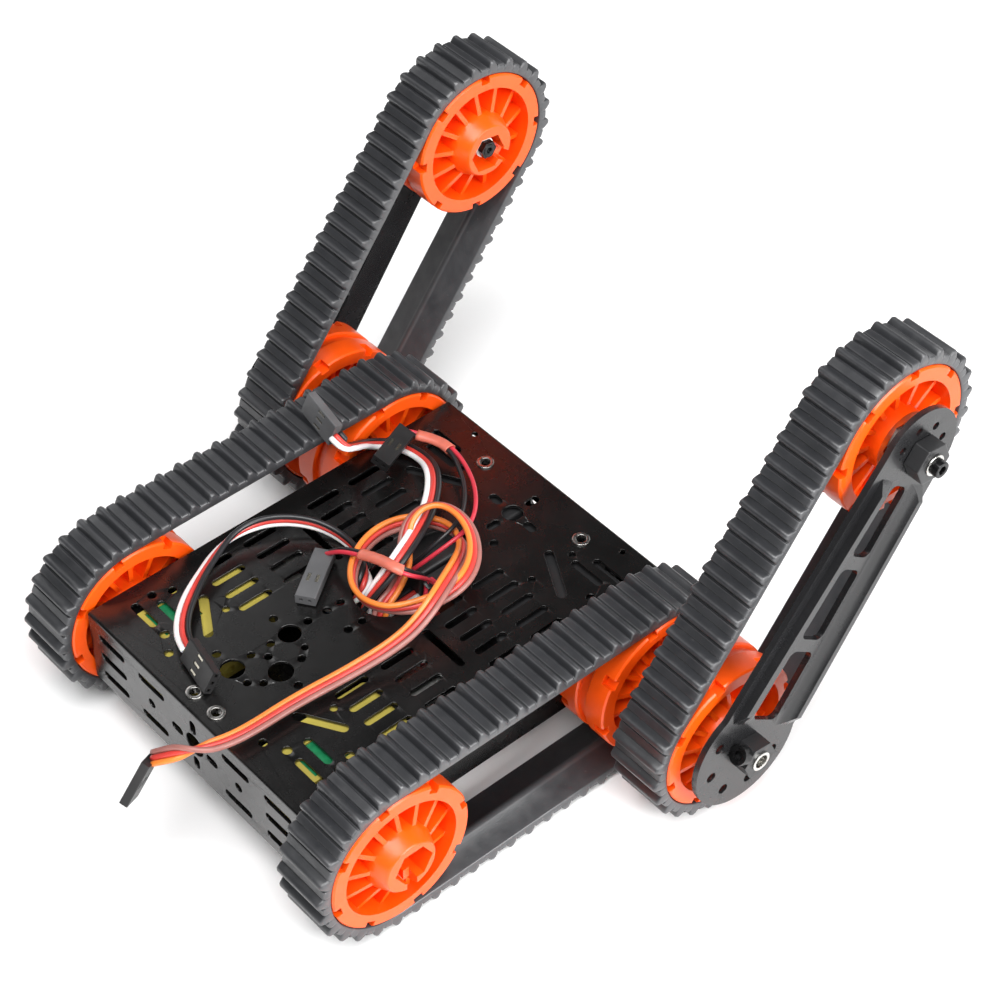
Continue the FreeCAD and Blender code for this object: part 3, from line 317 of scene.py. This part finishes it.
# ------------------------------------------------------------------ leads
RIBBON, STRAND = 4.95, 1.65
LEADS = {
    "lead_orange": [
        (14.8, -7.2, H - 12.5), (9.6, -7.3, H - 12.6), (4.6, -7.6, H - 12.4), (-0.6, -7.6, H - 11.9), (-4.3, -7.0, H - 9.0),
        (-5.4, -6.0, H - 5.0), (-4.4, -4.8, H - 1.2), (-1.7, -3.9, H + 1.3), (1.5, -3.6, H + 2.7), (5.6, -2.1, H + 4.0),
        (9.1, 0.2, H + 5.5), (11.3, 3.0, H + 7.6), (13.6, 5.6, H + 10.0), (17.0, 7.6, H + 12.4), (21.6, 7.9, H + 13.9),
        (25.9, 5.3, H + 14.6), (27.7, 0.4, H + 14.5), (27.3, -5.4, H + 14.0), (25.0, -10.9, H + 13.0), (21.0, -15.6, H + 12.0),
        (15.6, -18.6, H + 11.0), (9.6, -19.1, H + 9.8), (3.6, -17.4, H + 8.5), (-2.3, -14.2, H + 7.4), (-6.7, -9.1, H + 6.4),
        (-8.5, -3.0, H + 5.8), (-7.1, 3.2, H + 5.4), (-3.1, 8.5, H + 5.3), (2.2, 12.2, H + 5.6), (8.0, 14.1, H + 6.0),
        (13.8, 14.2, H + 6.3), (19.3, 12.5, H + 6.4), (23.8, 9.5, H + 6.3), (26.8, 5.2, H + 5.9), (27.7, 0.5, H + 5.9),
        (26.2, -4.2, H + 6.7), (22.9, -8.3, H + 8.3), (18.6, -12.0, H + 10.6), (13.6, -15.4, H + 12.6), (8.2, -18.4, H + 13.6),
        (2.6, -20.8, H + 13.0), (-2.6, -21.9, H + 10.8), (-7.8, -22.0, H + 8.2), (-13.6, -21.2, H + 6.0), (-20.4, -20.2, H + 4.6),
        (-28.4, -19.1, H + 3.6), (-37.2, -18.0, H + 3.2), (-46.4, -17.5, H + 3.2), (-55.6, -17.6, H + 3.2), (-63.6, -17.2, H + 3.4),
        (-70.2, -15.3, H + 3.3), (-75.0, -11.6, H + 2.3), (-78.7, -7.8, H + 0.1), (-81.2, -4.0, H - 2.9)],
    "lead_white_long": [
        (14.8, 3.6, H - 12.5), (9.8, 3.5, H - 12.6), (5.0, 3.3, H - 12.4), (0.2, 2.8, H - 12.0), (-3.8, 2.4, H - 9.4),
        (-5.3, 1.9, H - 5.2), (-4.7, 1.0, H - 0.8), (-2.3, 0.0, H + 3.2), (1.0, -0.9, H + 6.9), (4.9, -0.8, H + 9.8),
        (9.2, 0.4, H + 11.2), (14.3, 2.6, H + 11.4), (19.4, 5.6, H + 10.8), (24.2, 8.6, H + 10.2), (28.6, 12.1, H + 9.6),
        (32.8, 16.2, H + 9.0), (36.5, 20.8, H + 8.0), (39.5, 25.9, H + 5.9), (41.5, 31.2, H + 3.4), (42.1, 36.6, H + 2.0),
        (40.6, 41.4, H + 1.9), (36.8, 44.6, H + 2.6), (31.8, 45.6, H + 4.8), (27.4, 43.6, H + 8.6), (23.0, 40.4, H + 13.0),
        (19.1, 38.6, H + 17.0), (19.15, 43.0, H + 18.15)],
    "lead_white_short": [
        (-7.0, 22.5, H - 12.4), (-7.1, 18.4, H - 12.3), (-6.9, 14.2, H - 11.6), (-6.2, 10.4, H - 9.2), (-5.2, 7.4, H - 5.8),
        (-4.1, 5.3, H - 2.1), (-2.1, 5.0, H + 1.0), (0.6, 7.0, H + 1.9), (2.9, 11.0, H + 1.9), (4.6, 16.4, H + 1.9),
        (4.4, 22.6, H + 2.5), (2.5, 28.0, H + 3.5), (-0.4, 32.0, H + 4.5), (-4.0, 35.5, H + 5.1), (-8.1, 38.5, H + 5.3),
        (-12.6, 40.5, H + 5.2), (-17.4, 41.4, H + 4.9), (-22.4, 41.0, H + 4.5), (-27.5, 39.3, H + 4.1), (-32.8, 36.9, H + 3.7),
        (-37.8, 34.3, H + 3.4), (-42.5, 31.3, H + 3.2), (-46.8, 27.9, H + 3.1), (-50.4, 23.9, H + 3.2), (-53.0, 19.5, H + 3.6),
        (-54.0, 15.6, H + 4.0)],
    "lead_pair_rear": [
        (-1.5, -22.5, 2.2), (-1.4, -18.4, 2.3), (-0.4, -14.4, 3.0), (2.6, -11.3, 4.2), (6.6, -9.2, 5.9),
        (10.2, -8.0, 8.6), (11.9, -7.3, 12.4), (11.4, -7.6, H + 4.1), (8.6, -8.0, H + 7.8), (4.9, -7.9, H + 11.2),
        (2.2, -6.2, H + 13.3), (1.2, -2.6, H + 13.5), (0.7, 1.6, H + 12.5), (-0.2, 6.2, H + 11.1), (-1.3, 10.9, H + 9.6),
        (-2.3, 15.0, H + 7.6), (-2.9, 18.0, H + 4.9), (-3.0, 20.6, H + 2.6)],
    "lead_pair_front": [
        (-0.5, 22.5, 2.3), (-0.4, 18.6, 2.4), (0.9, 14.6, 3.0), (3.6, 11.2, 4.0), (6.8, 8.2, 5.4),
        (9.6, 5.4, 7.9), (11.8, 3.0, 11.2), (14.0, 1.0, H + 2.0), (17.1, -0.8, H + 5.3), (20.9, -2.2, H + 8.2),
        (25.1, -2.7, H + 9.8), (29.6, -1.3, H + 10.0), (34.3, 2.2, H + 9.0), (38.8, 7.0, H + 7.8), (42.9, 12.7, H + 6.7),
        (46.0, 18.9, H + 5.9), (48.2, 25.0, H + 5.6), (48.4, 30.4, H + 5.6), (46.4, 35.6, H + 5.8), (43.2, 40.6, H + 6.0)],
}


def spline_points(pts, name):
    # the smooth line that these control points pull
    cu = bpy.data.curves.new(name + "_line", "CURVE")
    cu.dimensions = "3D"
    sp = cu.splines.new("NURBS")
    sp.points.add(len(pts) - 1)
    for q, p in zip(sp.points, pts):
        q.co = (*P(*p), 1.0)
    sp.order_u = 3
    sp.use_endpoint_u = True
    sp.resolution_u = 10
    ob = bpy.data.objects.new(name + "_line", cu)
    bpy.context.scene.collection.objects.link(ob)
    bpy.context.view_layer.update()
    me = bpy.data.meshes.new_from_object(ob)
    out = [v.co.copy() for v in me.vertices]
    bpy.data.objects.remove(ob)
    bpy.data.meshes.remove(me)
    clean = [out[0]]
    for q in out[1:]:
        if (q - clean[-1]).length > 1e-5:
            clean.append(q)
    return clean


def path_frames(line, n_ctrl, turn):
    # tangent, side and normal at each point; turn = (control index, degrees) pairs: 0 lies flat, side to the left of travel,
    # 90 stands with the left strand on top
    n = len(line)
    out = []
    ks = sorted(turn)
    side_prev = None
    for i, p in enumerate(line):
        t = (line[min(n - 1, i + 1)] - line[max(0, i - 1)]).normalized()
        u = i / (n - 1) * (n_ctrl - 1)
        a = ks[0][1]
        for (k0, a0), (k1, a1) in zip(ks, ks[1:]):
            if u >= k1:
                a = a1
            elif u >= k0:
                a = a0 + (a1 - a0) * smooth01((u - k0) / (k1 - k0))
                break
        flat = Vector((0, 0, 1)).cross(t)
        if flat.length < 0.35:
            # steep run: carry the last side on instead of swinging round
            base = side_prev if side_prev is not None else Vector((0, 1, 0))
            w = (base - t * base.dot(t))
            flat = (flat + w.normalized() * (0.35 - flat.length) * 2)
        flat = (flat - t * flat.dot(t)).normalized()
        side_prev = flat.copy()
        side = Quaternion(t, math.radians(a)) @ flat
        out.append((p, t, side, t.cross(side)))
    return out


def strands(name, line_frames, offsets, radius, mats, body="chassis", split=None, ends=0.0):
    # parallel round wires: offsets in mm along the side vector; split(i/n) may add a spread factor
    verts, faces, fm = [], [], []
    seg = 12
    n = len(line_frames)
    for k, off in enumerate(offsets):
        base = len(verts)
        for i, (p, t, side, nor) in enumerate(line_frames):
            f = i / (n - 1)
            o_, lift = off, 0.0
            if split:
                o_, lift = split(k, f, off)
            c = p + side * (o_ * 1e-3) + nor * (lift * 1e-3)
            for j in range(seg):
                a = 2 * math.pi * j / seg
                verts.append(c + (side * math.cos(a) + nor * math.sin(a)) * radius * 1e-3)
        for i in range(n - 1):
            for j in range(seg):
                j2 = (j + 1) % seg
                faces.append((base + i * seg + j, base + i * seg + j2, base + (i + 1) * seg + j2, base + (i + 1) * seg + j))
                fm.append(k)
        faces.append(tuple(base + j for j in reversed(range(seg))))
        faces.append(tuple(base + (n - 1) * seg + j for j in range(seg)))
        fm += [k, k]
    return add(name, verts, faces, mats, body, fm)


# which way each ribbon lies along its route: (control point, degrees)
TURN = {
    "lead_orange": [(0, 180), (6, 180), (9, 150), (13, 140), (19, 140), (22, 110), (24, 70), (30, 65), (33, 90), (36, 130), (41, 165), (46, 180), (50, 184), (53, 330)],
    "lead_white_long": [(0, 0), (6, 0), (9, 12), (16, 10), (26, 0)],
    "lead_white_short": [(0, 180), (5, 180), (8, 265), (15, 262), (19, 215), (22, 190), (25, 178)],
    "lead_pair_rear": [(0, 0), (17, 0)],
    "lead_pair_front": [(0, 0), (19, 0)],
}
COLORS = {
    "lead_orange": ["w_orange", "w_red", "w_brown"],
    "lead_white_long": ["w_white", "w_red", "w_black"],
    "lead_white_short": ["w_white", "w_red", "w_black"],
    "lead_pair_rear": ["w_pink", "w_black"],
    "lead_pair_front": ["w_black", "w_pink"],
}
FRAMES = {}
LEAD_OBJ = {}
for name in ("lead_orange", "lead_white_long", "lead_white_short"):
    pts = LEADS[name]
    line = spline_points(pts, name)
    fr = path_frames(line, len(pts), TURN[name])
    FRAMES[name] = (line, fr)
    o = strands(name.replace("lead", "ribbon"), fr, [STRAND * 0.97, 0.0, -STRAND * 0.97], STRAND / 2, [M[c] for c in COLORS[name]])
    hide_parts(name)
    LEAD_OBJ[name] = (o, line, RIBBON)


def spread_rear(k, f, off):
    # the two wires run apart inside the case and up to the sleeve, and close together in it
    w = 1.0
    if 0.22 < f < 0.60:
        w = 1.0 + 1.1 * math.sin(math.pi * (f - 0.22) / 0.38)
    return off * w, 0.0


def spread_front(k, f, off):
    w = 1.0
    if 0.30 < f < 0.86:
        w = 1.0 + 1.6 * math.sin(math.pi * (f - 0.30) / 0.56) ** 0.8
    return off * w, 0.0


for name, sp in (("lead_pair_rear", spread_rear), ("lead_pair_front", spread_front)):
    pts = LEADS[name]
    line = spline_points(pts, name)
    fr = path_frames(line, len(pts), TURN[name])
    FRAMES[name] = (line, fr)
    o = strands(name.replace("lead", "wires"), fr, [0.66, -0.66], 0.65, [M[c] for c in COLORS[name]], split=sp)
    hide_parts(name)
    LEAD_OBJ[name] = (o, line, 2.7)


# ------------------------------------------------------------------ shrink sleeves over the paired wires
def sleeve(name, lead, f0, f1, wide, high):
    line, fr = FRAMES[lead]
    n = len(fr)
    i0, i1 = int(f0 * (n - 1)), int(f1 * (n - 1))
    part = fr[i0:i1 + 1]
    verts, faces = [], []
    seg = 28
    rnd = random.Random(3)
    m = len(part)
    for layer, inset in ((0, 0.0), (1, 0.22)):
        for i, (p, t, side, nor) in enumerate(part):
            e = min(i, m - 1 - i)
            flare = 1.04 if e == 0 else 1.0
            for j in range(seg):
                a = 2 * math.pi * j / seg
                ca, sa = math.cos(a), math.sin(a)
                # a flattened tube with a shallow waist between its two wires
                waist = 1 - 0.10 * abs(sa) ** 3
                wob = 1 + 0.02 * math.sin(3 * a + i * 0.9) * (0.4 if e < 2 else 1)
                x = (wide - inset) * ca * flare * wob
                y = (high - inset) * sa * flare * waist * wob
                verts.append(p + side * x * 1e-3 + nor * y * 1e-3)
    for i in range(m - 1):
        for j in range(seg):
            j2 = (j + 1) % seg
            a, b = i * seg, (i + 1) * seg
            faces.append((a + j, a + j2, b + j2, b + j))
            a, b = (m + i) * seg, (m + i + 1) * seg
            faces.append((a + j, b + j, b + j2, a + j2))
    for i in (0, m - 1):
        for j in range(seg):
            j2 = (j + 1) % seg
            a, b = i * seg, (m + i) * seg
            q = (a + j, b + j, b + j2, a + j2)
            faces.append(q if i == 0 else q[::-1])
    o = add(name, verts, faces, [M["salmon"]], "chassis")
    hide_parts(name)
    return o


SL_REAR = sleeve("sleeve_rear", "lead_pair_rear", 0.585, 0.80, 1.75, 1.35)
SL_FRONT = sleeve("sleeve_front", "lead_pair_front", 0.885, 0.985, 1.75, 1.35)


def contacts(plug, start, direction, across, length, width, thick):
    # tin tongues that show in the plug's small windows and at its open end
    d = Vector(direction).normalized()
    w = Vector(across)
    w = (w - d * w.dot(d)).normalized()
    n = d.cross(w)
    o0 = P(*start)
    k = max(2, int(width / 2.54 + 0.2))
    verts, faces = [], []
    for i in range(k):
        yc = (i - (k - 1) / 2.0) * 2.54
        for x0, x1, hy, z0, z1 in ((length - 8.9, length - 6.1, 0.44, thick / 2 - 0.52, thick / 2 - 0.20),
                                   (length - 4.9, length - 0.9, 0.40, -0.46, -0.24)):
            q = len(verts)
            for x in (x0, x1):
                for y in (yc - hy, yc + hy):
                    for z in (z0, z1):
                        verts.append(o0 + (d * x + w * y + n * z) * 1e-3)
            faces += [tuple(q + j for j in f) for f in ((0, 1, 3, 2), (4, 6, 7, 5), (0, 4, 5, 1), (2, 3, 7, 6), (0, 2, 6, 4), (1, 5, 7, 3))]
    o = add("contacts_" + plug, verts, faces, [M["contact"]], "chassis", smooth=False)
    return o


contacts("plug_orange", (-81.4, -3.8, H - 3.2), (-0.509, 0.125, -0.852), (0.783, 0.478, -0.398), 14.5, 7.8, 2.6)
contacts("plug_white_long", (19.17, 43.0, H + 18.2), (0.073, 0.974, 0.214), (-0.238, 0.225, -0.945), 14.0, 7.8, 2.7)
contacts("plug_white_short", (-54.05, 15.55, H + 4.1), (-0.19, -1.0, 0.0), (0.5, -0.1, 0.86), 14.5, 7.4, 2.6)
contacts("plug_pair_rear", (-3.1, 20.75, H + 2.45), (-16.4, -11.2, -0.3), (0.5, -0.8, 0.0), 18.5, 6.0, 3.2)
contacts("plug_pair_front", (42.9, 40.8, H + 6.4), (-13.8, -5.2, -0.2), (0.3, -0.8, -0.35), 15.0, 5.6, 3.6)

for name, ends, plug, sl in (("lead_orange", "plug", "plug_orange", None), ("lead_white_long", "plug", "plug_white_long", None),
                             ("lead_white_short", "plug", "plug_white_short", None), ("lead_pair_rear", "plug", "plug_pair_rear", SL_REAR),
                             ("lead_pair_front", "plug", "plug_pair_front", SL_FRONT)):
    o, line, d = LEAD_OBJ[name]

# ------------------------------------------------------------------ floor, light, camera
fm = bpy.data.materials.new("floor_white")
fm.use_nodes = True
b = fm.node_tree.nodes["Principled BSDF"]
b.inputs["Base Color"].default_value = (0.90, 0.90, 0.90, 1)
b.inputs["Roughness"].default_value = 0.7
b.inputs["Specular IOR Level"].default_value = 0.2
b.inputs["Emission Color"].default_value = (1, 1, 1, 1)
b.inputs["Emission Strength"].default_value = 0.03
floor = add("floor", [(-6, -6, -0.0002), (6, -6, -0.0002), (6, 6, -0.0002), (-6, 6, -0.0002)], [(0, 1, 2, 3)], [fm], None, smooth=False)

world = bpy.data.worlds.new("studio")
bpy.context.scene.world = world
world.use_nodes = True
bg = world.node_tree.nodes["Background"]
bg.inputs["Color"].default_value = (1, 1, 1, 1)
bg.inputs["Strength"].default_value = 0.055


def area(name, loc, target, size, power, size_y=None):
    l = bpy.data.lights.new(name, "AREA")
    l.energy = power
    l.shape = "RECTANGLE"
    l.size = size
    l.size_y = size_y or size
    o = bpy.data.objects.new(name, l)
    bpy.context.scene.collection.objects.link(o)
    o.location = loc
    d = Vector(target) - Vector(loc)
    o.rotation_euler = d.to_track_quat("-Z", "Y").to_euler()
    return o


C0 = (0.0, 0.0, 0.04)
area("key_right", (0.25, -1.35, 0.62), C0, 0.9, 34.0)
area("top_soft", (-0.45, -0.35, 1.30), C0, 1.0, 27.0)
area("left_fill", (0.20, 1.20, 0.80), C0, 0.8, 3.0)
area("front_rim", (1.15, 0.10, 0.45), C0, 0.7, 3.0)

R = ((0.7592426564583306, -0.650734992633448, -0.009724092576873566),
     (-0.46164129633301654, -0.5279661587089863, -0.7128387256442015),
     (0.4587351110761735, 0.5457066103873249, -0.7012605744268723))
right, down, fwd = (Vector(r) for r in R)
eye = P(-315.8, -417.8, 568.9)
cam_data = bpy.data.cameras.new("camera")
cam_data.sensor_fit = "HORIZONTAL"
cam_data.sensor_width = 36.0
cam_data.lens = 99.150
cam_data.shift_x = 0.0228
cam_data.shift_y = -0.0149
cam_data.clip_start = 0.01
cam_data.clip_end = 30
cam = bpy.data.objects.new("camera", cam_data)
bpy.context.scene.collection.objects.link(cam)
rot = Matrix((right, -down, -fwd)).transposed()
cam.matrix_world = Matrix.Translation(eye) @ rot.to_4x4()
bpy.context.scene.camera = cam
sc = bpy.context.scene
sc.view_settings.view_transform = "Standard"
sc.view_settings.look = "None"
sc.view_settings.exposure = 0.0
